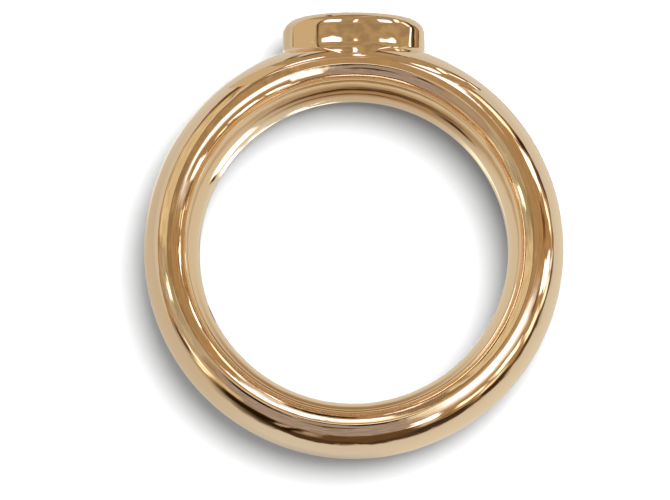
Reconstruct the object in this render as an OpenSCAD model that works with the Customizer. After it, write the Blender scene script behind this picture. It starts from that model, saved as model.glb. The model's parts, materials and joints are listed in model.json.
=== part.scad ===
// Gold ring with a round bezel that holds a cut peridot.
// The ring lies on its side. Its finger hole runs along Z and its bezel points along +Y.
// The origin is the middle of the finger hole. All sizes are in millimetres.

/* [Finger hole] */
// Inside diameter at the middle of the band
inner_d = 17; // [15:0.1:22]
// Length of the straight land in the middle of the finger hole
bore_land = 1.6; // [0.8:0.1:2.4]

/* [Band] */
// Width of the band along the finger
band_w = 8.2; // [8.1:0.1:9]
// Thickness of the band at its left and right, from the finger hole to the crest
band_t = 3.05; // [2.8:0.05:3.4]
// How far the crest is set off towards the bezel, which leaves the back thinner
crest_offset = 0.13; // [0.05:0.01:0.2]
// Rounding of the edge on each side of the band
edge_r = 0.4; // [0.3:0.05:0.5]
// Radius of the flanks, which lead from that edge to the flatter dome outside and inside
flank_r = 1.75; // [1.5:0.05:2]

/* [Bezel] */
// Outer diameter of the bezel
bezel_d = 7.84; // [7.6:0.02:7.9]
// Height of the bezel's rim above the crest of the band
bezel_rise = 1.12; // [1:0.01:1.6]
// Rounding of the rim's outer edge
rim_r = 0.74; // [0.4:0.02:0.8]
// Height of the foot, over which the wall widens to the width of the band
foot_h = 1.1; // [0.8:0.05:1.2]

/* [Stone] */
// Diameter of the stone at its girdle
stone_d = 6.3; // [5.8:0.05:6.4]
// Height of the stone's table above the rim
table_rise = 0.25; // [0:0.05:0.4]
// Width of the table, as a share of the stone's diameter
table_share = 0.57; // [0.5:0.01:0.62]
// Clear gap all round between the stone and the metal
stone_gap = 0.04; // [0.02:0.01:0.06]
// Overhang of the lip that holds the stone at its girdle
lip_grip = 0.15; // [0.1:0.01:0.2]

/* [Hidden] */
$fn = 96;

// The finger hole lies about the origin, and the crest about a centre shifted towards the bezel
bore_r = inner_d / 2;
crest_r = bore_r + band_t;
half_w = band_w / 2;
inner_depth = 1.38;
outer_depth = 1.52;
flank_turn = 57;
step_out = 0.001;
overlap = 0.2;
// The edge's arc would reach a little past the band's side, which cuts it flat there
arc_reach = half_w + 0.002;
side_in_r = bore_r + inner_depth;
side_out_r = crest_r - outer_depth;

// Heights on the bezel are measured from the origin along +Y
wall_r = bezel_d / 2;
rim_y = crest_r + crest_offset + bezel_rise;
root_y = side_in_r + 0.02;
foot_r = half_w - 0.01;
foot_y = side_out_r;
foot_top = foot_y + foot_h;
lip_bevel = 0.1;

// The stone's heights follow the usual shares of a round brilliant's diameter
girdle_r = stone_d / 2;
table_r = table_share * girdle_r;
crown_h = 0.15 * stone_d;
girdle_h = 0.03 * stone_d;
pavilion_h = 0.43 * stone_d;
culet_y = rim_y + table_rise - crown_h - girdle_h - pavilion_h;
mains = 8;
half_step = 180 / mains;
star_share = 0.55;
lower_share = 0.22;

// An oval quarter runs from the middle of a dome to the band's edge, over a depth and a length. Its
// three arcs join almost without a corner: the dome, the flank and the edge. The flank ends at
// flank_turn. Each arc stands proud of the one before it by step_out, so that they cross cleanly.
function flank_run(length) = length - flank_r * sin(flank_turn) - edge_r * (1 - sin(flank_turn));
function flank_drop(depth) = depth - flank_r * (1 - cos(flank_turn)) - edge_r * cos(flank_turn);
function dome_turn(depth, length) = 2 * atan(flank_drop(depth) / flank_run(length));
function dome_r(depth, length) = flank_r + flank_run(length) / sin(dome_turn(depth, length));

// Oval quarter as a solid area, whose dome's middle is at the origin and bulges towards +X
module oval_quarter(depth, length) {
    turn = dome_turn(depth, length);
    big_r = dome_r(depth, length);
    flank = [-big_r + (big_r - flank_r) * cos(turn), (big_r - flank_r) * sin(turn)];
    edge = flank + (flank_r - edge_r) * [cos(flank_turn), sin(flank_turn)];
    dome_top = big_r * sin(turn);
    flank_top = edge[1] + edge_r * sin(flank_turn);
    intersection() {
        translate([-big_r, 0]) circle(r = big_r);
        translate([-depth - overlap, 0]) square([depth + overlap, dome_top]);
    }
    intersection() {
        translate(flank) circle(r = flank_r + step_out);
        translate([-depth - overlap, 0]) square([depth + overlap, flank_top]);
    }
    intersection() {
        translate(edge) circle(r = edge_r + 2 * step_out);
        translate([-depth - overlap, 0]) square([depth + overlap, length + 1]);
    }
}

// Half of the disc's section, from the Z axis out to the domed outside
module domed_half() {
    intersection() {
        union() {
            for (side = [0, 1]) mirror([0, side])
                translate([crest_r, 0]) oval_quarter(outer_depth, arc_reach);
            translate([0, -half_w]) square([side_out_r, band_w]);
        }
        translate([0, -half_w]) square([crest_r + 1, band_w]);
    }
}

// Half of the room inside the band: straight over the land, then widening to the edges
module room_half() {
    difference() {
        translate([0, -half_w - 1]) square([side_in_r, band_w + 2]);
        for (side = [0, 1]) mirror([0, side])
            translate([bore_r, bore_land / 2]) mirror([1, 0])
                oval_quarter(inner_depth, arc_reach - bore_land / 2);
        translate([bore_r, -bore_land / 2]) square([inner_depth + 1, bore_land]);
    }
}

// Disc that the band is cut from, with the band's domed outside
module outer_disc() {
    translate([0, crest_offset, 0])
        rotate_extrude()
            domed_half();
}

module finger_room() {
    rotate_extrude() room_half();
}

// Turns a shape about +Y from its half outline, which is drawn with Y up
module turn_about_y() {
    rotate([-90, 0, 0]) rotate_extrude() children();
}

// Half outline of the bezel: foot that widens in an S to the band's width, wall and rounded rim
module bezel_half() {
    swell = foot_r - wall_r;
    bend = 2 * atan(swell / foot_h);
    bend_r = foot_h / (2 * sin(bend));
    middle_y = foot_y + foot_h / 2;
    translate([0, root_y]) square([foot_r, foot_y - root_y]);
    intersection() {
        translate([foot_r - bend_r, foot_y]) circle(r = bend_r);
        translate([0, foot_y]) square([foot_r, foot_h / 2]);
    }
    translate([0, foot_y]) square([foot_r - bend_r, foot_h / 2]);
    difference() {
        translate([0, middle_y]) square([wall_r + swell / 2, foot_h / 2]);
        translate([wall_r + bend_r, foot_top]) circle(r = bend_r);
    }
    translate([0, foot_top]) square([wall_r, rim_y - rim_r - foot_top]);
    translate([wall_r - rim_r, rim_y - rim_r]) circle(r = rim_r);
    translate([0, rim_y - rim_r]) square([wall_r - rim_r, rim_r]);
}

// Half outline of the hollow that takes the stone: seat, girdle room and lip
module seat_half() {
    pocket_r = girdle_r + stone_gap;
    lip_r = girdle_r - lip_grip;
    girdle_y = culet_y + pavilion_h;
    crown_slope = crown_h / (girdle_r - table_r);
    room_bottom = girdle_y - stone_gap;
    room_top = girdle_y + girdle_h + stone_gap;
    lip_y = room_top + (pocket_r - lip_r) * crown_slope;
    polygon([
        [0, culet_y - 2 * stone_gap],
        [pocket_r, room_bottom],
        [pocket_r, room_top],
        [lip_r, lip_y],
        [lip_r, rim_y - lip_bevel],
        [lip_r + lip_bevel, rim_y],
        [lip_r + lip_bevel, rim_y + 1],
        [0, rim_y + 1]
    ]);
}

// Band and bezel are soldered, so they are one piece of gold
module gold_ring() {
    color("goldenrod")
        difference() {
            union() {
                difference() {
                    outer_disc();
                    finger_room();
                }
                turn_about_y() bezel_half();
            }
            turn_about_y() seat_half();
        }
}

// Corner of the stone at a radius, a height above the culet and an angle in half steps
function corner(r, y, half_turns) = [r * cos(half_turns * half_step), r * sin(half_turns * half_step), y];

// Round brilliant with its culet at the origin and its table facing +Z
module brilliant() {
    crown_y = pavilion_h + girdle_h;
    flat_mid = table_r * cos(half_step);
    star_r = flat_mid + star_share * (girdle_r - flat_mid);
    star_y = crown_y + crown_h * (girdle_r - star_r * cos(half_step)) / (girdle_r - table_r);
    lower_r = lower_share * girdle_r;
    lower_y = pavilion_h * lower_r * cos(half_step) / girdle_r;
    steps = [0 : mains - 1];
    rim_steps = [0 : 2 * mains - 1];
    corners = concat(
        [for (i = steps) corner(table_r, crown_y + crown_h, 2 * i)],
        [for (i = steps) corner(star_r, star_y, 2 * i + 1)],
        [for (i = rim_steps) corner(girdle_r, crown_y, i)],
        [for (i = rim_steps) corner(girdle_r, pavilion_h, i)],
        [for (i = steps) corner(lower_r, lower_y, 2 * i + 1)],
        [[0, 0, 0]]
    );
    star = mains;
    top = 2 * mains;
    bottom = 4 * mains;
    lower = 6 * mains;
    culet = 7 * mains;
    function next(i) = (i + 1) % mains;
    function last(i) = (i + mains - 1) % mains;
    function rim(i) = (i + 2 * mains) % (2 * mains);
    facets = concat(
        [[for (i = steps) mains - 1 - i]],
        [for (i = steps) [i, next(i), star + i]],
        [for (i = steps) [i, star + i, top + 2 * i, star + last(i)]],
        [for (i = steps) [star + i, top + rim(2 * i + 1), top + 2 * i]],
        [for (i = steps) [star + i, top + rim(2 * i + 2), top + rim(2 * i + 1)]],
        [for (i = rim_steps) [top + i, top + rim(i + 1), bottom + rim(i + 1), bottom + i]],
        [for (i = steps) [bottom + 2 * i, bottom + rim(2 * i + 1), lower + i]],
        [for (i = steps) [bottom + rim(2 * i + 1), bottom + rim(2 * i + 2), lower + i]],
        [for (i = steps) [bottom + 2 * i, lower + i, culet, lower + last(i)]]
    );
    polyhedron(points = corners, faces = facets);
}

module peridot() {
    color("yellowgreen")
        translate([0, culet_y, 0]) rotate([-90, 0, 0]) brilliant();
}

gold_ring();
peridot();
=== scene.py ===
"""Wide gold ring with a round bezel that holds a cut peridot, lying on its side in a small photo studio."""

import json
import math
from typing import NamedTuple

import bmesh
import bpy
import numpy as np
from bpy.props import FloatProperty, FloatVectorProperty, PointerProperty
from mathutils import Matrix, Vector


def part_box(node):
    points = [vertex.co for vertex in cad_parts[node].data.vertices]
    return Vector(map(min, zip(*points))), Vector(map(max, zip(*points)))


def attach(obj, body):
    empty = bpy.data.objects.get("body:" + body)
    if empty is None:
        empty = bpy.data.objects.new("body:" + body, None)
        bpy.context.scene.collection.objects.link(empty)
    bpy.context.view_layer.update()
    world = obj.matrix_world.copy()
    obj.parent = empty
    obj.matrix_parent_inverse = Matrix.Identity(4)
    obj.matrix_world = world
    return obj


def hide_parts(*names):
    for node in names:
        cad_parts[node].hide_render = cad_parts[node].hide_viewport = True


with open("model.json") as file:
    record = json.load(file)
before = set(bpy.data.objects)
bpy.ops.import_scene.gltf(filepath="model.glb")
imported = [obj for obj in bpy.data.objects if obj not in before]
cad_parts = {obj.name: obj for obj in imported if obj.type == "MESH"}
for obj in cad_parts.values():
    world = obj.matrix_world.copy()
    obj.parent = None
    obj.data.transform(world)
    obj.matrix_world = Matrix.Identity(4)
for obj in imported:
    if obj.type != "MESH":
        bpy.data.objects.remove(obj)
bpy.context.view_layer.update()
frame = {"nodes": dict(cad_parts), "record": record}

bl_info = {
    "name": "Peridot Ring",
    "version": (1, 0, 0),
    "blender": (4, 5, 0),
    "location": "3D View > Sidebar > Peridot Ring",
    "description": "Makes a polished gold ring with a bezel-set peridot, and the studio it lies in",
    "category": "Add Mesh",
}

MM = 0.001


def link(name, data):
    """Puts an object with this mesh, lamp or camera in the scene."""
    thing = bpy.data.objects.new(name, data)
    bpy.context.scene.collection.objects.link(thing)
    return thing


def bore_sizes():
    """Sizes of the finger hole's straight land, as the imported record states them."""
    for mount in frame["record"]["mounts"]:
        if mount["name"] == "finger_bore":
            return mount["dims"]
    raise RuntimeError("the record states no finger_bore")


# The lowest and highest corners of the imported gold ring, in millimetres
RING_LOW, RING_HIGH = ([v / MM for v in corner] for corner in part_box("gold_ring"))
BORE = bore_sizes()


def size(name, description, default):
    """A property for a size in millimetres."""
    return FloatProperty(name=name, description=description, default=default)


class RingForm(bpy.types.PropertyGroup):
    """Sizes of the gold ring, in millimetres."""

    bore_r: size("Finger radius", "Radius of the finger hole at its land", BORE["r_mm"])
    bore_land: size("Land", "Length of the straight land in the finger hole", BORE["length_mm"])
    half_w: size("Half width", "Half of the band's width along the finger", RING_HIGH[2])
    crest_r: size("Crest radius", "Radius of the band's crest", RING_HIGH[0])
    inner_depth: size("Inner doming", "Depth of the dome on the band's inside", 1.38)
    outer_depth: size("Outer doming", "Depth of the dome on the band's outside", 1.52)
    edge_r: size("Edge", "Rounding of the edge on each side of the band", 0.4)
    flank_r: size("Flank", "Radius of the flanks between the edge and the domes", 1.75)
    wall_r: size("Bezel radius", "Radius of the bezel's wall", 3.92)
    rim_r: size("Rim rounding", "Rounding of the bezel's rim", 0.74)
    foot_h: size("Foot height", "Height of the bezel's foot", 1.1)
    lip_bevel: size("Lip bevel", "Bright bevel on the lip's inner edge", 0.1)
    lip_grip: size("Lip grip", "Overhang of the lip over the stone's girdle", 0.15)
    stone_gap: size("Stone gap", "Clear gap between the stone and its seat", 0.04)
    solder_r: size("Solder fillet", "Radius of the solder fillet round the bezel's foot", 0.16)


class GoldFinish(bpy.types.PropertyGroup):
    """Colour and polish of the gold."""

    colour: FloatVectorProperty(
        name="Gold", description="Reflected colour of the gold", subtype="COLOR", default=(0.92, 0.76, 0.58)
    )
    roughness: FloatProperty(
        name="Roughness", description="Roughness of the polish", default=0.04, subtype="FACTOR"
    )
    unevenness: FloatProperty(
        name="Unevenness", description="Height of the waves that hand polishing leaves", default=3.5e-5,
        precision=7,
    )
    hairlines: FloatProperty(
        name="Hairlines", description="Depth of the hairlines as a share of the waves", default=0.006,
        precision=4,
    )


class StoneFinish(bpy.types.PropertyGroup):
    """Colour and clarity of the peridot."""

    colour: FloatVectorProperty(
        name="Peridot", description="Body colour of the stone", subtype="COLOR", default=(0.52, 0.86, 0.16)
    )
    ior: FloatProperty(name="Refraction", description="Refractive index of peridot", default=1.67)


class Studio(bpy.types.PropertyGroup):
    """The camera's place and view."""

    tilt: FloatProperty(
        name="Tilt", description="Camera's lean towards the back of the ring", subtype="ANGLE",
        default=math.radians(7.0),
    )
    side_step: FloatProperty(
        name="Side step", description="Camera's lean to the right", subtype="ANGLE", default=math.radians(0.5)
    )
    distance: FloatProperty(
        name="Distance", description="From the camera to the ring", subtype="DISTANCE", default=0.3
    )
    view_width: FloatProperty(
        name="View width", description="Width seen at the ring", subtype="DISTANCE", default=0.03687
    )


def slope_of(distance, p, step):
    """How a distance formula grows along each axis at each point."""
    slopes = []
    for axis in range(3):
        shift = np.zeros(3)
        shift[axis] = step
        slopes.append((distance(p + shift) - distance(p - shift)) / (2 * step))
    return np.stack(slopes, 1)


def unit(vectors):
    return vectors / np.linalg.norm(vectors, axis=1)[:, None]


class Dome:
    """An oval quarter of three arcs, from the middle of a dome to the band's edge.

    Places on it are given by the turn of its normal, in degrees from the dome's middle.
    """

    FLANK_TURN = 57.0

    def __init__(self, depth, length, flank_r, edge_r):
        end_sin = math.sin(math.radians(self.FLANK_TURN))
        end_cos = math.cos(math.radians(self.FLANK_TURN))
        run = length - flank_r * end_sin - edge_r * (1 - end_sin)
        drop = depth - flank_r * (1 - end_cos) - edge_r * end_cos
        turn = 2 * math.atan(drop / run)
        dome_r = flank_r + run / math.sin(turn)
        flank = np.array([(dome_r - flank_r) * math.cos(turn) - dome_r, (dome_r - flank_r) * math.sin(turn)])
        edge = flank + (flank_r - edge_r) * np.array([end_cos, end_sin])
        self.centres = (np.array([-dome_r, 0.0]), flank, edge)
        self.radii = (dome_r, flank_r, edge_r)
        self.turns = (math.degrees(turn), self.FLANK_TURN, 90.0)

    def point(self, turn):
        """Rise (nought or less) and distance along the finger, where the normal has turned this far."""
        for limit, centre, radius in zip(self.turns, self.centres, self.radii):
            if turn <= limit + 1e-9:
                angle = math.radians(turn)
                return centre + radius * np.array([math.cos(angle), math.sin(angle)])
        raise ValueError("the turn is past the edge")

    def turn_at(self, along):
        """Turn of the normal at a distance along the finger."""
        for limit, centre, radius in zip(self.turns, self.centres, self.radii):
            if along <= centre[1] + radius * math.sin(math.radians(limit)) + 1e-9:
                return math.degrees(math.asin(min((along - centre[1]) / radius, 1.0)))
        raise ValueError("the place is past the edge")

    def distance(self, rise, along):
        """Signed distance of each point from the oval, outward positive."""
        gaps = []
        angles = []
        for centre, radius in zip(self.centres, self.radii):
            gaps.append(np.hypot(rise - centre[0], along - centre[1]) - radius)
            angles.append(np.degrees(np.arctan2(along - centre[1], rise - centre[0])))
        beyond = along - (self.centres[2][1] + self.radii[2])
        zones = [angles[0] <= self.turns[0], angles[1] <= self.turns[1], angles[2] <= self.turns[2]]
        return np.select(zones, gaps, beyond)


class RingShape:
    """The ring's surfaces as formulas, in millimetres."""

    FOOT_INSET = 0.01
    LAND_STEPS = 4
    HALVINGS = 40
    SETTLINGS = 6
    SLOPE_STEP = 2e-4
    # Least squared slope, which keeps a settling point from leaping where two walls run together
    LEAST_SLOPE = 0.2

    def __init__(self, form):
        self.bore_r = form.bore_r
        self.land = form.bore_land / 2
        self.half_w = form.half_w
        self.crest_r = form.crest_r
        self.offset = RING_LOW[1] + form.crest_r
        self.outer = Dome(form.outer_depth, self.half_w, form.flank_r, form.edge_r)
        self.inner = Dome(form.inner_depth, self.half_w - self.land, form.flank_r, form.edge_r)
        self.wall_r = form.wall_r
        self.rim_r = form.rim_r
        self.rim_y = RING_HIGH[1]
        self.foot_r = self.half_w - self.FOOT_INSET
        self.foot_y = self.crest_r - form.outer_depth
        self.foot_mid = self.foot_y + form.foot_h / 2
        self.foot_top = self.foot_y + form.foot_h
        bend = 2 * math.atan((self.foot_r - self.wall_r) / form.foot_h)
        self.bend_r = form.foot_h / (2 * math.sin(bend))
        self.solder_r = form.solder_r

    def section(self, turns):
        """Half of the cross-section from crest to finger hole.

        Each entry is a point, its normal and its share of the crest's offset.
        """
        found = []
        for turn in turns:
            rise, along = self.outer.point(turn)
            angle = math.radians(turn)
            found.append(((self.crest_r + rise, along), (math.cos(angle), math.sin(angle)), 1.0))
        for turn in reversed(turns):
            rise, along = self.inner.point(turn)
            angle = math.radians(turn)
            found.append(((self.bore_r - rise, self.land + along), (-math.cos(angle), math.sin(angle)), 0.0))
        for i in range(1, self.LAND_STEPS + 1):
            found.append(((self.bore_r, self.land * (1 - i / self.LAND_STEPS)), (-1.0, 0.0), 0.0))
        return found

    def band_distance(self, p):
        """Signed distance of each point from the outside of the band."""
        r = np.hypot(p[:, 0], p[:, 1] - self.offset)
        return self.outer.distance(r - self.crest_r, np.abs(p[:, 2]))

    def bezel_distance(self, p):
        """Signed distance of each point from the outside of the bezel."""
        rho = np.hypot(p[:, 0], p[:, 2])
        y = p[:, 1]
        root = rho - self.foot_r
        swell = np.hypot(rho - (self.foot_r - self.bend_r), y - self.foot_y) - self.bend_r
        hollow = self.bend_r - np.hypot(rho - (self.wall_r + self.bend_r), y - self.foot_top)
        wall = rho - self.wall_r
        dx = rho - (self.wall_r - self.rim_r)
        dy = y - (self.rim_y - self.rim_r)
        rim = np.where(dx > 0, np.hypot(dx, dy) - self.rim_r, dy - self.rim_r)
        bands = [y < self.foot_y, y < self.foot_mid, y < self.foot_top, dy < 0]
        return np.select(bands, [root, swell, hollow, wall], rim)

    def distance(self, p, fillet):
        """Signed distance from band and bezel together, with a fillet where they meet."""
        band = self.band_distance(p)
        bezel = self.bezel_distance(p)
        u = np.maximum(fillet - band, 0)
        v = np.maximum(fillet - bezel, 0)
        blended = np.maximum(fillet, np.minimum(band, bezel)) - np.hypot(u, v)
        return np.where(fillet > 1e-6, blended, np.minimum(band, bezel))

    def settle(self, p, fillet):
        """Moves points onto the filleted surface, and returns them with their normals."""

        def distance(at):
            return self.distance(at, fillet)

        for _ in range(self.SETTLINGS):
            slope = slope_of(distance, p, self.SLOPE_STEP)
            length = np.maximum((slope**2).sum(1), self.LEAST_SLOPE)
            p = p - slope * (distance(p) / length)[:, None]
        return p, unit(slope_of(distance, p, self.SLOPE_STEP))

    def bezel_radius(self, y):
        """Radius of the bezel's outside at a height below its rim rounding."""
        if y < self.foot_y:
            return self.foot_r
        if y < self.foot_mid:
            return self.foot_r - self.bend_r + math.sqrt(self.bend_r**2 - (y - self.foot_y) ** 2)
        if y < self.foot_top:
            return self.wall_r + self.bend_r - math.sqrt(self.bend_r**2 - (y - self.foot_top) ** 2)
        return self.wall_r

    def foot_point(self, turn):
        """Where the bezel's outside meets the band's outside, in the direction turn about the bezel."""
        low, high = self.foot_y, self.rim_y - self.rim_r
        for _ in range(self.HALVINGS):
            y = (low + high) / 2
            rho = self.bezel_radius(y)
            point = np.array([[rho * math.cos(turn), y, rho * math.sin(turn)]])
            if self.band_distance(point)[0] < 0:
                low = y
            else:
                high = y
        return point[0]


class MeshParts:
    """Collects points, faces and one normal for each face corner."""

    def __init__(self):
        self.points = []
        self.faces = []
        self.normals = []

    def add_points(self, points):
        """Adds points and returns their numbers."""
        first = len(self.points)
        self.points.extend(tuple(p) for p in points)
        return range(first, len(self.points))

    def face(self, corners, normals):
        self.faces.append(corners)
        self.normals.extend(normals)

    def build(self, name):
        mesh = bpy.data.meshes.new(name)
        mesh.from_pydata([(x * MM, y * MM, z * MM) for x, y, z in self.points], [], self.faces)
        mesh.polygons.foreach_set("use_smooth", [True] * len(self.faces))
        mesh.update()
        mesh.normals_split_custom_set([tuple(n) for n in self.normals])
        return link(name, mesh)


class BandGrid:
    """The band as a grid of turns about the finger hole and steps round its cross-section."""

    TURNS = 384
    # The patch under the bezel: its middle, and how far it reaches to both sides
    MIDDLE = TURNS // 4
    REACH = 34
    # Steps of equal turn from the crest to the edge, close enough for the tight edge
    EDGE = 34

    def __init__(self, shape, parts):
        self.shape = shape
        self.parts = parts
        half = shape.section([90.0 * i / self.EDGE for i in range(self.EDGE + 1)])
        mirrored = [((r, -z), (nr, -nz), share) for (r, z), (nr, nz), share in half[-2:0:-1]]
        self.section = half + mirrored
        self.steps = len(self.section)
        self.vertex = {}

    def signed(self, step):
        """Steps from the crest, negative on the underside."""
        step %= self.steps
        return step - self.steps if step > self.steps // 2 else step

    def angle(self, turn):
        return 2 * math.pi * turn / self.TURNS

    def place(self, turn, step):
        """Point and normal of one grid corner."""
        angle = self.angle(turn)
        (r, z), (nr, nz), share = self.section[step]
        point = (r * math.cos(angle), r * math.sin(angle) + self.shape.offset * share, z)
        return point, (nr * math.cos(angle), nr * math.sin(angle), nz)

    def corner(self, turn, step):
        """Index and normal of one grid corner, made when first asked for."""
        key = turn % self.TURNS, step % self.steps
        if key not in self.vertex:
            point, normal = self.place(*key)
            self.vertex[key] = self.parts.add_points([point])[0], normal
        return self.vertex[key]

    def fill(self):
        """Faces of the whole band but for the patch."""
        for turn in range(self.TURNS):
            beside = -self.REACH <= turn - self.MIDDLE < self.REACH
            for step in range(self.steps):
                if beside and -self.EDGE <= self.signed(step) < self.EDGE:
                    continue
                around = ((0, 0), (1, 0), (1, 1), (0, 1))
                quad = [self.corner(turn + i, step + j) for i, j in around]
                self.parts.face([c[0] for c in quad], [c[1] for c in quad])

    def border(self):
        """The patch's border as (direction about the bezel, turn, step), in order of direction."""
        ring = set()
        for a in range(-self.REACH, self.REACH + 1):
            ring.update({(a, -self.EDGE), (a, self.EDGE)})
        for b in range(-self.EDGE, self.EDGE + 1):
            ring.update({(-self.REACH, b), (self.REACH, b)})
        found = [(math.atan2(b / self.EDGE, -a / self.REACH), self.MIDDLE + a, b) for a, b in ring]
        return sorted(found)

    def step_at(self, z):
        """Steps from the crest, in parts of a step, at a height on the band's outside."""
        return math.copysign(self.shape.outer.turn_at(abs(z)) / 90.0 * self.EDGE, z)

    def outside(self, turn, step):
        """Point on the band's outside at parts of turns and steps."""
        angle = self.angle(turn)
        rise, along = self.shape.outer.point(90.0 * abs(step) / self.EDGE)
        r = self.shape.crest_r + rise
        return r * math.cos(angle), r * math.sin(angle) + self.shape.offset, math.copysign(along, step)


class BezelSpokes:
    """The bezel and the band round its foot, as paths from the seat out to the patch's border."""

    RIM_ROWS = 12
    WALL_ROWS = 22
    BAND_ROWS = 26
    # How strongly the rows crowd towards the bezel's foot
    WALL_CROWDING = 1.5
    BAND_CROWDING = 1.7
    # How far the walls' normals part where the solder reaches its full radius
    FULL_STEEPNESS = 0.66
    SLOPE_STEP = 1e-4

    def __init__(self, shape, grid, parts, form, stone):
        self.shape = shape
        self.grid = grid
        self.parts = parts
        self.form = form
        self.stone = stone
        self.border = grid.border()
        self.turns = np.array([found[0] for found in self.border])
        self.feet = np.array([shape.foot_point(turn) for turn in self.turns])
        self.fillet = self.fillets()

    def fillets(self):
        """Fillet radius at each spoke: full where the walls stand steep, none where they run together."""
        band = unit(slope_of(self.shape.band_distance, self.feet, self.SLOPE_STEP))
        bezel = unit(slope_of(self.shape.bezel_distance, self.feet, self.SLOPE_STEP))
        steepness = np.clip((1 - (band * bezel).sum(1)) / self.FULL_STEEPNESS, 0, 1)
        return self.shape.solder_r * steepness

    def hoop(self, rho, y):
        """Points about the bezel's axis, at one radius and height or at one for each spoke."""
        heights = y + np.zeros_like(self.turns)
        return np.stack([rho * np.cos(self.turns), heights, rho * np.sin(self.turns)], 1)

    def seat_outline(self):
        """Half outline of the seat and lip, from its middle to the rim's flat top."""
        shape, form, stone = self.shape, self.form, self.stone
        pocket_r = stone["girdle_r"] + form.stone_gap
        lip_r = stone["girdle_r"] - form.lip_grip
        room_top = stone["girdle_top"] + form.stone_gap
        lip_y = room_top + (pocket_r - lip_r) * stone["crown_slope"]
        return [
            (0.0, stone["culet_y"] - 2 * form.stone_gap),
            (pocket_r, stone["girdle_bottom"] - form.stone_gap),
            (pocket_r, room_top),
            (lip_r, lip_y),
            (lip_r, shape.rim_y - form.lip_bevel),
            (lip_r + form.lip_bevel, shape.rim_y),
            (shape.wall_r - shape.rim_r, shape.rim_y),
        ]

    def strip(self, first, second, first_normals, second_normals):
        """Faces between two rows of points, each given as vertex numbers."""
        count = len(self.turns)
        for k in range(count):
            after = (k + 1) % count
            self.parts.face(
                [first[k], first[after], second[after], second[k]],
                [first_normals[k], first_normals[after], second_normals[after], second_normals[k]],
            )

    def fill_seat(self):
        """Seat, lip and bevel, whose corners stay crisp; returns the row at the rim rounding's start."""
        outline = self.seat_outline()
        count = len(self.turns)
        rise = outline[1][1] - outline[0][1]
        run = outline[1][0]
        length = math.hypot(rise, run)
        slope = self.hoop(-rise / length, run / length)
        [middle] = self.parts.add_points([(0.0, outline[0][1], 0.0)])
        row = self.parts.add_points(self.hoop(*outline[1]))
        for k in range(count):
            after = (k + 1) % count
            self.parts.face([middle, row[after], row[k]], [slope[k], slope[after], slope[k]])
        for (rho0, y0), (rho1, y1) in zip(outline[1:], outline[2:]):
            length = math.hypot(rho1 - rho0, y1 - y0)
            normals = self.hoop(-(y1 - y0) / length, (rho1 - rho0) / length)
            after_row = self.parts.add_points(self.hoop(rho1, y1))
            self.strip(row, after_row, normals, normals)
            row = after_row
        return row

    def fill_outside(self, row):
        """Rim rounding, wall, fillet and the band round the foot, out to the patch's border."""
        shape = self.shape
        normals = self.hoop(0.0, 1.0)
        rows = []
        for i in range(1, self.RIM_ROWS + 1):
            lean = math.pi / 2 * i / self.RIM_ROWS
            rho = shape.wall_r - shape.rim_r * (1 - math.sin(lean))
            rows.append(self.hoop(rho, shape.rim_y - shape.rim_r * (1 - math.cos(lean))))
        top = shape.rim_y - shape.rim_r
        for i in range(1, self.WALL_ROWS + 1):
            share = (1 - i / self.WALL_ROWS) ** self.WALL_CROWDING
            y = self.feet[:, 1] + (top - self.feet[:, 1]) * share
            rows.append(self.hoop(np.array([shape.bezel_radius(v) for v in y]), y))
        for i in range(1, self.BAND_ROWS):
            share = (i / self.BAND_ROWS) ** self.BAND_CROWDING
            rows.append(np.array([self.between(k, share) for k in range(len(self.turns))]))
        for points in rows:
            points, new_normals = shape.settle(points, self.fillet)
            new_row = self.parts.add_points(points)
            self.strip(row, new_row, normals, new_normals)
            row, normals = new_row, new_normals
        ends = [self.grid.corner(turn, step) for _, turn, step in self.border]
        self.strip(row, [end[0] for end in ends], normals, [end[1] for end in ends])

    def between(self, k, share):
        """Point of spoke k at a share of its way from the foot to the border, on the band's outside."""
        foot = self.feet[k]
        start_turn = math.atan2(foot[1] - self.shape.offset, foot[0]) / (2 * math.pi) * self.grid.TURNS
        start_step = self.grid.step_at(foot[2])
        _, turn, step = self.border[k]
        return self.grid.outside(
            start_turn + (turn - start_turn) * share, start_step + (step - start_step) * share
        )


# Usual shares of the stone's diameter
PAVILION_SHARE = 0.43
GIRDLE_TOP_SHARE = 0.46
CROWN_SHARE = 0.15
TABLE_SHARE = 0.57


def stone_sizes():
    """The stone's radii and heights in millimetres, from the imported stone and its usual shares."""
    low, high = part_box("peridot")
    girdle_r = high[0] / MM
    diameter = 2 * girdle_r
    culet_y = low[1] / MM
    return {
        "girdle_r": girdle_r,
        "culet_y": culet_y,
        "girdle_bottom": culet_y + PAVILION_SHARE * diameter,
        "girdle_top": culet_y + GIRDLE_TOP_SHARE * diameter,
        "crown_slope": CROWN_SHARE * diameter / (girdle_r * (1 - TABLE_SHARE)),
    }


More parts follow.
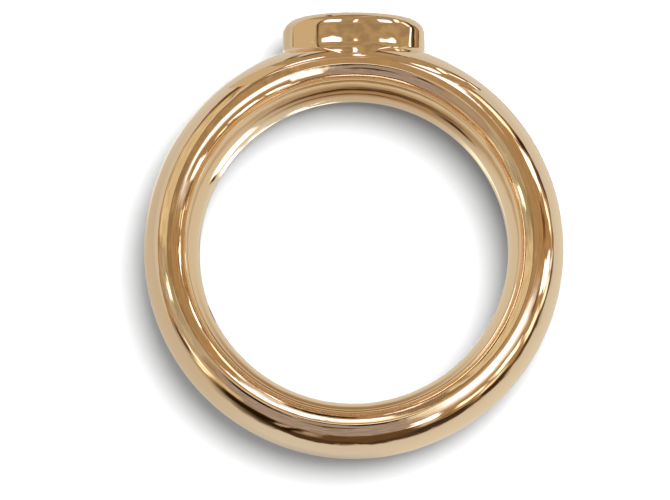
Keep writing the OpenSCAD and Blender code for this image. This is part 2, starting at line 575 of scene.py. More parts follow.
class ShaderNodes:
    """Short calls for the nodes of one shader tree."""

    def __init__(self, tree):
        self.tree = tree

    def add(self, kind, **settings):
        node = self.tree.nodes.new(kind)
        for name, value in settings.items():
            setattr(node, name, value)
        return node

    def plug(self, source, socket):
        if isinstance(source, bpy.types.NodeSocket):
            self.tree.links.new(source, socket)
        else:
            socket.default_value = source

    def math(self, operation, *values):
        node = self.add("ShaderNodeMath", operation=operation)
        for value, socket in zip(values, node.inputs):
            self.plug(value, socket)
        return node.outputs[0]

    def noise(self, place, scale, detail):
        """Smooth noise of nought to one at points in metres."""
        node = self.add("ShaderNodeTexNoise")
        self.plug(place, node.inputs["Vector"])
        node.inputs["Scale"].default_value = scale
        node.inputs["Detail"].default_value = detail
        return node.outputs["Fac"]

    def ramp(self, value, low, high, to_low=0.0, to_high=1.0):
        """A smooth step of value from low to high."""
        node = self.add("ShaderNodeMapRange", interpolation_type="SMOOTHSTEP")
        for socket, number in zip(node.inputs, (value, low, high, to_low, to_high)):
            self.plug(number, socket)
        return node.outputs["Result"]

    def axes(self, place):
        """The three coordinates of a place."""
        node = self.add("ShaderNodeSeparateXYZ")
        self.plug(place, node.inputs[0])
        return node.outputs[:3]

    def mapped(self, place, scale, turn=(0.0, 0.0, 0.0)):
        """A place that is scaled and then turned."""
        node = self.add("ShaderNodeMapping")
        for name, value in (("Vector", place), ("Scale", scale), ("Rotation", turn)):
            self.plug(value, node.inputs[name])
        return node.outputs[0]

    def turn(self, aside, ahead):
        """Angle in degrees from ahead towards aside."""
        return self.math("DEGREES", self.math("ARCTAN2", aside, ahead))

    def nudged(self, value, noise, reach):
        """A value that noise moves to both sides, by up to half of reach."""
        return self.math("ADD", value, self.math("MULTIPLY", self.math("SUBTRACT", noise, 0.5), reach))

    def mottled(self, colour, place, scale, depth):
        """A colour that is darker and lighter here and there, by up to depth."""
        shade = self.ramp(self.noise(place, scale, 3.0), 0.35, 0.65, 1.0 - depth, 1.0 + depth)
        return self.mix(1.0, colour, shade, "MULTIPLY")

    def bump_between(self, value, low, high, soft):
        """One between low and high, with soft edges, and nought elsewhere."""
        rise = self.ramp(value, low - soft / 2, low + soft / 2)
        fall = self.ramp(value, high - soft / 2, high + soft / 2, 1.0, 0.0)
        return self.math("MULTIPLY", rise, fall)

    def mix(self, share, first, second, blend="MIX"):
        node = self.add("ShaderNodeMix", data_type="RGBA", blend_type=blend)
        self.plug(share, node.inputs["Factor"])
        for value, name in ((first, "A"), (second, "B")):
            socket = next(s for s in node.inputs if s.name == name and s.type == "RGBA")
            self.plug(value, socket)
        return next(s for s in node.outputs if s.type == "RGBA")

    def background(self, colour):
        node = self.add("ShaderNodeBackground")
        self.plug(colour, node.inputs["Color"])
        return node.outputs[0]

    def shader_mix(self, share, first, second):
        node = self.add("ShaderNodeMixShader")
        for value, socket in zip((share, first, second), node.inputs):
            self.plug(value, socket)
        return node.outputs[0]


def principled(name, looks):
    """A material whose shader has these inputs."""
    material = bpy.data.materials.new(name)
    material.use_nodes = True
    for key, value in looks.items():
        material.node_tree.nodes["Principled BSDF"].inputs[key].default_value = value
    return material


# Widths of the gold's waves, ripples and hairlines in millimetres, and the ripples' share of the waves
WAVE_W = 2.6
RIPPLE_W = 0.7
HAIRLINE_W = 0.06
RIPPLE_SHARE = 0.12
# How the two sets of hairlines are turned and stretched, and how much of the noise makes them
HAIRLINE_TURNS = ((0.3, 0.2, 0.9), (1.2, 0.5, 2.0))
HAIRLINE_STRETCH = (1.0, 0.03, 1.0)
HAIRLINE_RANGE = (0.72, 0.8)


def gold_material(finish):
    """Polished gold, a little uneven, with the fine hairlines of wear."""
    looks = {"Base Color": (*finish.colour, 1.0), "Metallic": 1.0, "Roughness": finish.roughness}
    material = principled("polished_gold", looks)
    nodes = ShaderNodes(material.node_tree)
    place = nodes.add("ShaderNodeTexCoord").outputs["Object"]
    wave = nodes.noise(place, 1 / (WAVE_W * MM), 2.0)
    ripple = nodes.noise(place, 1 / (RIPPLE_W * MM), 1.0)
    height = nodes.math("ADD", wave, nodes.math("MULTIPLY", ripple, RIPPLE_SHARE))
    for turn in HAIRLINE_TURNS:
        turned = nodes.mapped(place, HAIRLINE_STRETCH, turn)
        hairline = nodes.ramp(nodes.noise(turned, 1 / (HAIRLINE_W * MM), 0.0), *HAIRLINE_RANGE)
        height = nodes.math("ADD", height, nodes.math("MULTIPLY", hairline, finish.hairlines))
    bump = nodes.add("ShaderNodeBump")
    nodes.plug(height, bump.inputs["Height"])
    bump.inputs["Distance"].default_value = finish.unevenness
    nodes.plug(bump.outputs["Normal"], material.node_tree.nodes["Principled BSDF"].inputs["Normal"])
    return material


def peridot_material(finish):
    """Clear green stone."""
    looks = {"Base Color": (*finish.colour, 1.0), "Roughness": 0.0, "Transmission Weight": 1.0}
    looks["IOR"] = finish.ior
    return principled("cut_peridot", looks)


class PERIDOT_RING_OT_gold(bpy.types.Operator):
    """Makes the band and its soldered bezel as one smooth piece of gold"""

    bl_idname = "peridot_ring.gold"
    bl_label = "Make the gold ring"

    def execute(self, context):
        form = context.scene.peridot_ring_form
        shape = RingShape(form)
        parts = MeshParts()
        grid = BandGrid(shape, parts)
        grid.fill()
        spokes = BezelSpokes(shape, grid, parts, form, stone_sizes())
        row = spokes.fill_seat()
        spokes.fill_outside(row)
        ring = parts.build("polished_ring")
        ring.data.materials.append(gold_material(context.scene.peridot_ring_gold))
        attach(ring, "root")
        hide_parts("gold_ring")
        return {"FINISHED"}


class PERIDOT_RING_OT_stone(bpy.types.Operator):
    """Gives the cut stone its clear green body"""

    bl_idname = "peridot_ring.stone"
    bl_label = "Finish the peridot"

    def execute(self, context):
        stone = frame["nodes"]["peridot"]
        material = peridot_material(context.scene.peridot_ring_stone)
        stone.data.materials.clear()
        stone.data.materials.append(material)
        return {"FINISHED"}


class Patch(NamedTuple):
    """A patch of light or shade that the gold mirrors.

    A bearing runs from +Y towards +X and a height from straight up, both in degrees unless a table says
    otherwise. wide and high are half sizes, soft is the share of them over which the edge fades, and lean
    is how far the bearing shifts for each step down.
    """

    bearing: float
    height: float
    wide: float
    high: float
    light: tuple
    soft: float = 0.5
    lean: float = 0.0


def patches(*rows):
    """A table of patches, whose rows follow the order of Patch."""
    return [Patch(*row) for row in rows]


# Noise bends the room's heights and bearings by these degrees, and mottles its light
BEND_SCALE = 9.0
BEND_HEIGHT = 8.0
BEND_BEARING = 10.0
MOTTLE_SCALE = 13.0
MOTTLE_DEPTH = 0.16
# What the gold mirrors in the room, over the room's own light
ROOM_LIGHT = (0.43, 0.27, 0.125, 1.0)
ROOM = patches(
    (0, 0, 200, 8, (0.45, 0.32, 0.18)),
    (-60, 48, 25, 46, (0.74, 0.6, 0.37), 0.12),
    (-104, 45, 19, 52, (0.52, 0.43, 0.3), 0.2),
    (-97, 57, 9, 20, (0.38, 0.34, 0.2), 0.6),
    (-80, 27, 8, 15, (0.36, 0.22, 0.08), 0.5, -1.1),
    (-50, 12, 24, 7, (0.34, 0.21, 0.1), 0.4),
    (-24, 44, 15, 36, (0.31, 0.21, 0.12), 0.2, 0.1),
    (-34, 60, 2.5, 22, (0.85, 0.7, 0.48), 0.6, 0.2),
    (-165, 66, 38, 40, (0.38, 0.31, 0.27), 0.3),
    (-158, 14, 24, 7, (0.06, 0.03, 0.01), 0.4, -1.2),
    (-136, 17, 16, 7, (0.85, 0.71, 0.53), 0.5, -1.2),
    (-141, 37, 12, 15, (0.02, 0.01, 0.0), 0.35, -0.3),
    (172, 24, 10, 11, (0.05, 0.02, 0.01)),
    (-173, 62, 8, 3, (0.08, 0.04, 0.02), 0.6),
    (112, 15, 30, 13, (0.66, 0.58, 0.48), 0.3),
    (126, 46, 23, 26, (2.2, 2.25, 2.5), 0.6),
    (155, 45, 6, 20, (0.95, 0.84, 0.62)),
    (19, 47, 12, 30, (2.2, 2.25, 2.5), 0.2),
    (180, 4.5, 50, 2.5, (1.9, 1.9, 1.9), 0.4),
    (180, 12, 30, 4.5, (0.03, 0.02, 0.01), 0.4),
    (-4, 33, 9, 18, (1.3, 1.15, 0.75), 0.4, 0.2),
    (20, 68, 11, 13, (0.85, 0.79, 0.72)),
    (22, 91, 11, 10, (0.58, 0.39, 0.27)),
    (-98, 75, 3.5, 5, (2.4, 2.2, 1.8)),
    (-130, 98, 11, 14, (0.74, 0.58, 0.33), 0.4),
    (-120, 96, 7, 3.5, (1.7, 1.5, 1.3), 0.6),
    (-123, 109, 2.5, 6, (1.4, 1.2, 0.9), 0.5, 0.3),
    (-113, 118, 6, 20, (0.45, 0.37, 0.3), 0.4),
    (-113, 106, 5, 6, (0.12, 0.06, 0.02)),
    (-171, 117, 41, 20, (0.13, 0.07, 0.03), 0.15),
    (-148, 117, 17, 18, (0.02, 0.01, 0.0), 0.3),
    (-166, 110, 3, 12, (0.4, 0.3, 0.22), 0.7, 0.2),
    (-156, 108, 2, 9, (0.5, 0.37, 0.29), 0.7, 0.2),
    (42, 86, 7, 7, (1.5, 1.35, 1.05), 0.3, 0.4),
    (61, 91, 5, 9, (2.6, 2.4, 2.2), 0.3, 0.5),
    (54, 106, 3, 12, (0.05, 0.02, 0.01), 0.4, 0.3),
    (64, 114, 4, 9, (0.12, 0.07, 0.05), 0.4, 0.3),
    (75, 109, 3.5, 9, (1.6, 1.4, 1.1), 0.4, 0.5),
    (78, 82, 5, 6, (0.18, 0.07, 0.02)),
    (93, 99, 5, 12, (2.6, 2.5, 2.4), 0.3, -0.15),
    (88, 124, 2.5, 9, (1.1, 1.05, 1.0), 0.5, -0.2),
    (97, 122, 4.5, 9, (1.5, 1.35, 1.05), 0.4),
    (101, 84, 4, 5, (0.2, 0.11, 0.04)),
    (109, 111, 5.5, 9, (1.6, 1.45, 1.2), 0.4),
    (108, 130, 9, 6, (0.12, 0.07, 0.02), 0.4),
    (123, 97, 6.5, 6.5, (2.1, 1.9, 1.6), 0.3),
    (129, 115, 6, 5, (1.1, 0.9, 0.7)),
    (129, 130, 7, 6, (0.02, 0.01, 0.0), 0.35),
    (139, 101, 6, 5, (1.9, 1.7, 1.3), 0.35),
    (156, 89, 5, 8.5, (2.2, 2.1, 2.0), 0.3),
    (155, 104, 4, 8, (0.6, 0.5, 0.4), 0.6),
    (151, 127, 12, 8, (0.05, 0.03, 0.02), 0.3),
)

# The white paper under the ring is turned up around one bearing. Its edge stands at the first height up to
# the first bearing from there, and sinks to the second. The painted shadow line at the edge is hidden between
# two bearings.
PAPER_MIDDLE = -22.0
PAPER_TURN = (55.0, 108.0)
PAPER_HEIGHTS = (99.0, 136.0)
HIDDEN_EDGE = (-128.0, -52.0)
# The painted shadow line at the edge lies a little above it, from one height to the other, with this softness
EDGE_SHADOW_LINE = (-6.0, -0.5, 3.0)
EDGE_STRENGTH = 0.85
# Heights between which the paper's light sinks into the painted shadow under the ring
PAPER_DIMMING = (150.0, 178.0)
# The paper's own light, its painted shadow under the ring, its painted shadow line at the edge, and painted
# highlights and shade over its light
PAPER_LIGHT = (0.69, 0.63, 0.53, 1.0)
PAPER_SHADOW_UNDER_RING = (0.5, 0.45, 0.37, 1.0)
PAPER_EDGE_SHADOW = (0.07, 0.035, 0.015, 1.0)
PAPER_LIGHTS_AND_SHADES = patches(
    (-95, 150, 42, 26, (0.62, 0.53, 0.4), 0.4),
    (100, 162, 70, 20, (0.74, 0.66, 0.52), 0.3),
    (-32, 92, 12, 3.5, (0.13, 0.07, 0.02), 0.7),
    (-18, 104, 2.5, 10, (0.12, 0.07, 0.02), 0.6, 0.25),
    (-34, 163, 18, 6, (1.0, 0.95, 0.84), 0.7, 2.0),
    (10, 165, 9, 5, (1.0, 0.94, 0.8), 0.7),
)

# Two makes a patch an oval, and a large number makes it a rectangle
PATCH_SQUARENESS = 5.0


def light_patch_group():
    """Node group that paints one soft-edged patch over a colour, by its bearing and height."""
    if "light_patch" in bpy.data.node_groups:
        return bpy.data.node_groups["light_patch"]
    group = bpy.data.node_groups.new("light_patch", "ShaderNodeTree")
    sockets = {"Under": "Color", "Light": "Color"}
    for name in ("Bearing", "Height", "At bearing", "At height", "Wide", "High", "Lean", "Inner", "Outer"):
        sockets[name] = "Float"
    for name, kind in sockets.items():
        group.interface.new_socket(name, in_out="INPUT", socket_type="NodeSocket" + kind)
    group.interface.new_socket("Colour", in_out="OUTPUT", socket_type="NodeSocketColor")
    nodes = ShaderNodes(group)
    given = nodes.add("NodeGroupInput").outputs
    down = nodes.math("SUBTRACT", given["Height"], given["At height"])
    middle = nodes.math("ADD", given["At bearing"], nodes.math("MULTIPLY", down, given["Lean"]))
    aside = nodes.math("WRAP", nodes.math("SUBTRACT", given["Bearing"], middle), 180.0, -180.0)
    spread = 0.0
    for offset, reach in ((aside, given["Wide"]), (down, given["High"])):
        share = nodes.math("ABSOLUTE", nodes.math("DIVIDE", offset, reach))
        spread = nodes.math("ADD", spread, nodes.math("POWER", share, PATCH_SQUARENESS))
    spread = nodes.math("POWER", spread, 1 / PATCH_SQUARENESS)
    cover = nodes.ramp(spread, given["Inner"], given["Outer"], 1.0, 0.0)
    colour = nodes.mix(cover, given["Under"], given["Light"])
    nodes.plug(colour, nodes.add("NodeGroupOutput").inputs["Colour"])
    return group


def paint_patches(nodes, colour, bearing, height, lights_and_shades):
    """Paints a table of light patches over a colour, in order."""
    group = light_patch_group()
    for light_or_shade in lights_and_shades:
        node = nodes.add("ShaderNodeGroup", node_tree=group)
        values = [colour, (*light_or_shade.light, 1.0), bearing, height, light_or_shade.bearing, light_or_shade.height]
        values += [light_or_shade.wide, light_or_shade.high, light_or_shade.lean, 1 - light_or_shade.soft, 1 + light_or_shade.soft]
        for value, socket in zip(values, node.inputs):
            nodes.plug(value, socket)
        colour = node.outputs["Colour"]
    return colour


def studio_world(world):
    """What the polished gold mirrors: a warm room with windows above, and white paper below."""
    world.use_nodes = True
    tree = world.node_tree
    tree.nodes.clear()
    nodes = ShaderNodes(tree)
    direction = nodes.add("ShaderNodeTexCoord").outputs["Generated"]
    x, y, z = nodes.axes(direction)
    # Nothing in a real room has straight edges, so all of it is bent a little
    bend = nodes.add("ShaderNodeTexNoise")
    nodes.plug(direction, bend.inputs["Vector"])
    bend.inputs["Scale"].default_value = BEND_SCALE
    bends = nodes.axes(bend.outputs["Color"])
    height = nodes.nudged(nodes.math("DEGREES", nodes.math("ARCCOSINE", z)), bends[0], BEND_HEIGHT)
    bearing = nodes.nudged(nodes.turn(x, y), bends[1], BEND_BEARING)
    room = paint_patches(nodes, ROOM_LIGHT, bearing, height, ROOM)
    room = nodes.mottled(room, direction, MOTTLE_SCALE, MOTTLE_DEPTH)
    # The paper lies flat under the ring and is turned up like a low card beyond the bezel
    aside = nodes.math("ABSOLUTE", nodes.math("SUBTRACT", bearing, PAPER_MIDDLE))
    paper_edge = nodes.ramp(aside, *PAPER_TURN, *PAPER_HEIGHTS)
    below = nodes.math("SUBTRACT", height, paper_edge)
    # Under the ring the paper sinks into a painted shadow
    paper = nodes.mix(nodes.ramp(height, *PAPER_DIMMING), PAPER_LIGHT, PAPER_SHADOW_UNDER_RING)
    # Its edge shows as a painted shadow line, but for where the bright wall to the left stands behind it
    strength = nodes.math("SUBTRACT", EDGE_STRENGTH, nodes.bump_between(bearing, *HIDDEN_EDGE, 8.0))
    edge_shadow = nodes.math("MULTIPLY", nodes.bump_between(below, *EDGE_SHADOW_LINE), strength)
    room = nodes.mix(nodes.math("MAXIMUM", edge_shadow, 0.0), room, PAPER_EDGE_SHADOW)
    colour = nodes.mix(nodes.ramp(below, -1.5, 2.0), room, paper)
    colour = paint_patches(nodes, colour, bearing, height, PAPER_LIGHTS_AND_SHADES)
    # All that isn't a mirrored ray gets plain fill, and the gold throws no warm light onto the paper
    path = nodes.add("ShaderNodeLightPath")
    off_paper = nodes.math("GREATER_THAN", path.outputs["Diffuse Depth"], 0.5)
    in_gloss = nodes.math("MAXIMUM", path.outputs["Is Glossy Ray"], path.outputs["Is Transmission Ray"])
    thrown = nodes.background((0.1, 0.105, 0.11, 1.0))
    plain = nodes.background((0.24, 0.24, 0.24, 1.0))
    from_metal = nodes.shader_mix(off_paper, nodes.background(colour), thrown)
    found = nodes.shader_mix(in_gloss, plain, from_metal)
    nodes.plug(found, nodes.add("ShaderNodeOutputWorld").inputs["Surface"])


# How far the floor reaches from the ring on each side, in metres
FLOOR_REACH = 2.0
# Lamps that throw the ring's shadow: name, place and size in metres, and power in watts
LAMPS = (("key", (0.06, 0.042, 0.34), 0.16, 1.3), ("wide_key", (0.035, 0.03, 0.42), 0.8, 1.2))

# Painted lights and shade on the paper inside the hole, which the gold mirrors; their heights are distances
# from the ring's axis in millimetres
HOLE_LIGHT = (0.7, 0.61, 0.46, 1.0)
HOLE_LIGHTS_AND_SHADES = patches(
    (-165, 2.3, 60, 2.0, (0.36, 0.22, 0.1)),
    (8, 4.6, 32, 3.2, (0.4, 0.26, 0.13)),
    (0, 4.1, 24, 0.5, (0.06, 0.03, 0.02), 0.7),
    (12, 3.2, 13, 0.3, (0.08, 0.04, 0.02), 0.8),
    (-4, 6.2, 20, 0.25, (0.14, 0.07, 0.03), 0.7),
    (33, 4.7, 6, 0.5, (0.05, 0.02, 0.02), 0.6),
    (-46, 6.1, 10, 1.1, (2.0, 1.95, 1.85), 0.3),
    (-57.5, 6.3, 1.5, 0.7, (0.08, 0.04, 0.02)),
    (-110, 7.4, 3, 0.4, (0.12, 0.07, 0.03)),
    (-50, 8.15, 6, 0.12, (2.2, 2.1, 1.9)),
    (-35, 8.15, 6, 0.12, (2.2, 2.1, 1.9)),
    (-15, 8.15, 8, 0.12, (2.2, 2.1, 1.9)),
    (60, 7.9, 14, 0.25, (1.3, 1.2, 0.85), 0.6),
)
# How far it ends short of the finger hole's land, and how far it lies over the floor
HOLE_PAPER_GAP = 0.2
HOLE_PAPER_RISE = 0.02

# The dim room over the bezel, as its wall and foot mirror it. A bearing is a turn about the bezel from
# +Z towards +X in degrees, and a height lies along +Y in millimetres.
SCREEN_LIGHTS = ((0.43, 0.29, 0.17, 1.0), (0.42, 0.31, 0.16, 1.0))
# Sizes of its tints and spots in millimetres. They are squashed because the bezel's wall mirrors a low,
# long strip of the card.
SCREEN_TINTS = 4.0
SCREEN_SPOTS = 2.2
SCREEN_SQUASH = 3.5
# Painted highlights and shade on the card over the bezel, which its wall and foot mirror
BEZEL_LIGHTS_AND_SHADES = patches(
    (-71.5, 15.9, 23, 4.6, (0.64, 0.5, 0.31), 0.05),
    (-47, 14.4, 1.4, 2.8, (0.13, 0.07, 0.03)),
    (-28.5, 16.6, 12.5, 1.7, (2.3, 2.1, 2.3), 0.15),
    (-28, 11.97, 12.3, 0.18, (2.3, 2.1, 2.3), 0.2),
    (3.4, 16.05, 2.6, 1.7, (2.3, 2.1, 2.2), 0.4, 1.0),
    (3.1, 11.86, 2.3, 0.12, (2.0, 1.8, 1.4)),
    (46.5, 16.85, 10.3, 1.7, (2.3, 2.1, 2.3), 0.15),
    (46, 11.97, 11.3, 0.18, (2.3, 2.1, 2.3), 0.2),
    (72.4, 18.1, 4.5, 1.9, (2.0, 1.8, 1.6), 0.3, 2.5),
    (80.6, 15.25, 3.2, 1.3, (2.0, 1.8, 1.6), 0.4, -2.5),
    (85.6, 12.6, 1.7, 0.95, (2.2, 2.1, 2.0), 0.3, 3.0),
    (93, 14.2, 3.1, 3.4, (0.05, 0.03, 0.01), 0.4),
)
# Its walls share a radius and an upper height, and have a lower height and two bearings each
SCREEN_R = 9.0
SCREEN_TOP = 33.0
SCREEN_WALLS = ((12.0, -96, -48), (11.5, -48, 98))
WALL_STEPS = 40

# The dim light that the cards throw on the paper by way of the gold
CARD_ON_PAPER = (0.03, 0.035, 0.045, 1.0)


def glow_material(name, colour_at):
    """A card that glows on its front alone; colour_at gives its colour and how far it is clear."""
    material = bpy.data.materials.new(name)
    material.use_nodes = True
    tree = material.node_tree
    tree.nodes.clear()
    nodes = ShaderNodes(tree)
    place = nodes.add("ShaderNodeTexCoord").outputs["Object"]
    colour, clearness = colour_at(nodes, place)
    on_paper = nodes.math("GREATER_THAN", nodes.add("ShaderNodeLightPath").outputs["Diffuse Depth"], 0.5)
    glow = nodes.add("ShaderNodeEmission")
    nodes.plug(nodes.mix(on_paper, colour, CARD_ON_PAPER), glow.inputs["Color"])
    behind = nodes.add("ShaderNodeNewGeometry").outputs["Backfacing"]
    hidden = nodes.math("MAXIMUM", behind, clearness)
    clear = nodes.add("ShaderNodeBsdfTransparent").outputs[0]
    seen = nodes.shader_mix(hidden, glow.outputs[0], clear)
    nodes.plug(seen, nodes.add("ShaderNodeOutputMaterial").inputs["Surface"])
    return material


def hole_paper_colour(nodes, place):
    """The glowing card of lit paper inside the finger hole, with its painted lights and shade."""
    x, y, _ = nodes.axes(place)
    squares = nodes.math("ADD", nodes.math("MULTIPLY", x, x), nodes.math("MULTIPLY", y, y))
    out = nodes.math("DIVIDE", nodes.math("SQRT", squares), MM)
    return paint_patches(nodes, HOLE_LIGHT, nodes.turn(x, y), out, HOLE_LIGHTS_AND_SHADES), 0.0


def bezel_screen_colour(nodes, place):
    """The mottled room over the bezel, with the painted highlights and shade that the bezel mirrors."""
    x, y, z = nodes.axes(place)
    squashed = nodes.mapped(place, (1.0, SCREEN_SQUASH, 1.0))
    green = nodes.ramp(nodes.noise(squashed, 1 / (SCREEN_TINTS * MM), 2.0), 0.4, 0.6)
    room = nodes.mix(green, *SCREEN_LIGHTS)
    room = nodes.mottled(room, squashed, 1 / (SCREEN_SPOTS * MM), MOTTLE_DEPTH)
    return paint_patches(nodes, room, nodes.turn(x, z), nodes.math("DIVIDE", y, MM), BEZEL_LIGHTS_AND_SHADES), 0.0


# Painted lights and shade that stand across the finger hole from the inner flank, which it mirrors
ACROSS_LIGHT = (0.4, 0.25, 0.115, 1.0)
ACROSS_LIGHTS_AND_SHADES = patches(
    (132, 66, 37, 20, (0.4, 0.25, 0.115), 0.15),
    (137, 34, 30, 22, (2.2, 2.2, 2.3), 0.4, 0.2),
    (163, 60, 5, 12, (2.2, 2.1, 2.0), 0.4),
    (149, 78, 5.5, 4, (2.2, 2.1, 2.0), 0.3, 0.5),
    (133, 78, 6, 4, (2.2, 2.1, 2.0), 0.3, 0.5),
    (120, 80, 3, 3, (1.6, 1.4, 1.0)),
    (104, 79, 4, 7, (2.3, 2.2, 2.1), 0.5, 0.3),
    (84, 75, 3, 2, (1.2, 1.0, 0.6)),
    (84, 84, 4, 2, (1.6, 1.4, 1.0)),
    (71, 82, 6, 4, (2.3, 2.2, 2.0), 0.3, 0.5),
    (3, 52, 13, 17, (2.2, 2.2, 2.4), 0.4),
    (-128, 48, 13, 28, (0.45, 0.34, 0.24), 0.4),
    (-112, 84, 5, 2, (1.2, 1.1, 0.8)),
    (-92, 86, 4, 2, (1.3, 1.2, 0.8)),
    (-43, 85, 7, 2, (0.05, 0.03, 0.02), 0.5, 0.3),
    (6, 80, 9, 5, (0.03, 0.015, 0.01), 0.4),
    (98, 88.6, 56, 1.9, (0.04, 0.02, 0.01), 0.4),
    (186, 88, 29, 2.5, (0.05, 0.025, 0.01), 0.4),
    (-50, 88, 42, 2.4, (0.06, 0.03, 0.015), 0.4),
)
# The card's radius, the heights at which it starts and ends, and its straight lengths
ACROSS_R = 9.8
ACROSS_Z = (4.1, 95.0)
ACROSS_STEPS = 180
# Where the inner flank lies that looks across: its distance from the card and its height
FLANK_AWAY = 19.2
FLANK_Z = 3.5
# Noise that bends its heights: its size in millimetres and its reach in degrees
ACROSS_WAVES = 1.6
ACROSS_BEND = 5.0


def across_colour(nodes, place):
    """The painted lights and shade across the hole, clear between them."""
    x, y, z = nodes.axes(place)
    bearing = nodes.turn(x, y)
    rise = nodes.math("SUBTRACT", nodes.math("DIVIDE", z, MM), FLANK_Z)
    waves = nodes.noise(place, 1 / (ACROSS_WAVES * MM), 2.0)
    height = nodes.nudged(nodes.turn(FLANK_AWAY, rise), waves, ACROSS_BEND)
    colour = paint_patches(nodes, ACROSS_LIGHT, bearing, height, ACROSS_LIGHTS_AND_SHADES)
    shapes = [light_or_shade._replace(light=(0.0, 0.0, 0.0)) for light_or_shade in ACROSS_LIGHTS_AND_SHADES]
    return colour, paint_patches(nodes, (1.0, 1.0, 1.0, 1.0), bearing, height, shapes)


def add_wall(grid, posts):
    """Adds faces between neighbouring posts, each a pair of points in millimetres."""
    rows = [[grid.verts.new([v * MM for v in point]) for point in post] for post in posts]
    for first, second in zip(rows, rows[1:]):
        grid.faces.new((first[0], second[0], second[1], first[1]))


def link_sheet(name, grid, material):
    """Puts a thin sheet of the studio in the scene."""
    mesh = bpy.data.meshes.new(name)
    grid.to_mesh(mesh)
    grid.free()
    mesh.materials.append(material)
    return link(name, mesh)


def hang_mirrored_card(name, grid, colour_at):
    """Hangs a card that nothing but the gold's mirror image shows."""
    card = link_sheet(name, grid, glow_material(name, colour_at))
    for rays in ("camera", "diffuse", "shadow", "transmission"):
        setattr(card, "visible_" + rays, False)


SENSOR_WIDTH = 36.0
FRAME_WIDTH = 670
FRAME_HEIGHT = 500
# Where the middle of the finger hole shows in the photograph, in its pixels
HOLE_X = 353.6
HOLE_Y = 251.6


def place_camera(context, studio):
    data = bpy.data.cameras.new("camera")
    data.sensor_width = SENSOR_WIDTH
    data.lens = SENSOR_WIDTH * studio.distance / studio.view_width
    data.shift_x = (FRAME_WIDTH / 2 - HOLE_X) / FRAME_WIDTH
    data.shift_y = (HOLE_Y - FRAME_HEIGHT / 2) / FRAME_WIDTH
    data.clip_start = 0.01
    data.clip_end = 20.0
    camera = link("camera", data)
    towards = Vector((math.sin(studio.side_step), -math.sin(studio.tilt), 1.0))
    towards.z = math.sqrt(1 - towards.x**2 - towards.y**2)
    right = Vector((0, 1, 0)).cross(towards).normalized()
    up = towards.cross(right)
    turn = Matrix((right, up, towards)).transposed()
    camera.matrix_world = Matrix.Translation(towards * studio.distance) @ turn.to_4x4()
    context.scene.camera = camera


def lay_floor():
    grid = bmesh.new()
    bmesh.ops.create_grid(grid, x_segments=1, y_segments=1, size=FLOOR_REACH)
    bmesh.ops.translate(grid, verts=grid.verts, vec=(0, 0, RING_LOW[2] * MM))
    looks = {"Base Color": (0.88, 0.88, 0.88, 1.0), "Roughness": 0.8, "Specular IOR Level": 0.0}
    floor = link_sheet("floor", grid, principled("pale_paper", looks))
    floor.visible_glossy = False
    floor.visible_transmission = False


def lay_hole_paper():
    disc = bmesh.new()
    radius = BORE["r_mm"] - HOLE_PAPER_GAP
    bmesh.ops.create_circle(disc, cap_ends=True, segments=96, radius=radius * MM)
    bmesh.ops.translate(disc, verts=disc.verts, vec=(0, 0, (RING_LOW[2] + HOLE_PAPER_RISE) * MM))
    hang_mirrored_card("hole_paper", disc, hole_paper_colour)


def arc(radius, start, end, steps):
    """Points between two bearings, as distances aside and ahead."""
    angles = [math.radians(start + (end - start) * i / steps) for i in range(steps + 1)]
    return [(radius * math.sin(angle), radius * math.cos(angle)) for angle in angles]


def stand_across():
    wall = bmesh.new()
    add_wall(wall, [[(x, y, z) for z in ACROSS_Z] for x, y in arc(ACROSS_R, 0, 360, ACROSS_STEPS)])
    hang_mirrored_card("room_across", wall, across_colour)


def bend_screen():
    screen = bmesh.new()
    for low, start, end in SCREEN_WALLS:
        points = arc(SCREEN_R, start, end, WALL_STEPS)
        add_wall(screen, [[(x, y, z) for y in (SCREEN_TOP, low)] for x, z in points])
    hang_mirrored_card("bezel_screen", screen, bezel_screen_colour)


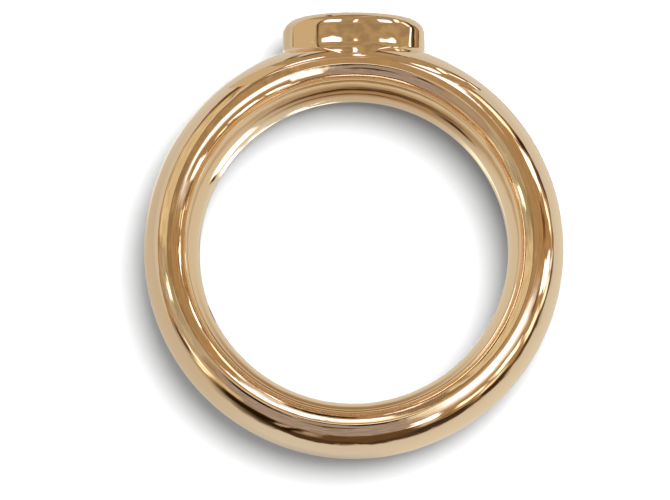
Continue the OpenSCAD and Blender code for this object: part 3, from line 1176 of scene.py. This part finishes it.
def hang_lights():
    for name, at, width, energy in LAMPS:
        data = bpy.data.lights.new(name, "AREA")
        data.energy = energy
        data.shape = "DISK"
        data.size = width
        lamp = link(name, data)
        place = Vector(at)
        lamp.matrix_world = Matrix.Translation(place) @ place.to_track_quat("Z", "Y").to_matrix().to_4x4()
        lamp.visible_glossy = False


class PERIDOT_RING_OT_studio(bpy.types.Operator):
    """Sets the camera, the pale floor and the soft studio light"""

    bl_idname = "peridot_ring.studio"
    bl_label = "Set up the studio"

    def execute(self, context):
        studio = context.scene.peridot_ring_studio
        place_camera(context, studio)
        lay_floor()
        lay_hole_paper()
        bend_screen()
        stand_across()
        hang_lights()
        context.scene.world = bpy.data.worlds.new("studio")
        studio_world(context.scene.world)
        context.scene.view_settings.view_transform = "Standard"
        return {"FINISHED"}


class PERIDOT_RING_PT_panel(bpy.types.Panel):
    """Lists the ring's operators and sizes"""

    bl_idname = "PERIDOT_RING_PT_panel"
    bl_label = "Peridot Ring"
    bl_space_type = "VIEW_3D"
    bl_region_type = "UI"
    bl_category = "Peridot Ring"

    def draw(self, context):
        for operator in OPERATORS:
            self.layout.operator(operator.bl_idname)
        for name in GROUPS:
            settings = getattr(context.scene, name)
            box = self.layout.box()
            for prop in settings.bl_rna.properties:
                if prop.identifier not in {"rna_type", "name"}:
                    box.prop(settings, prop.identifier)


OPERATORS = (PERIDOT_RING_OT_gold, PERIDOT_RING_OT_stone, PERIDOT_RING_OT_studio)
GROUPS = {
    "peridot_ring_form": RingForm,
    "peridot_ring_gold": GoldFinish,
    "peridot_ring_stone": StoneFinish,
    "peridot_ring_studio": Studio,
}
CLASSES = (*GROUPS.values(), *OPERATORS, PERIDOT_RING_PT_panel)


def register():
    for kind in CLASSES:
        bpy.utils.register_class(kind)
    for name, kind in GROUPS.items():
        setattr(bpy.types.Scene, name, PointerProperty(type=kind))


def unregister():
    for name in GROUPS:
        delattr(bpy.types.Scene, name)
    for kind in reversed(CLASSES):
        bpy.utils.unregister_class(kind)


def main():
    register()
    bpy.ops.peridot_ring.gold()
    bpy.ops.peridot_ring.stone()
    bpy.ops.peridot_ring.studio()


if __name__ == "__main__":
    main()
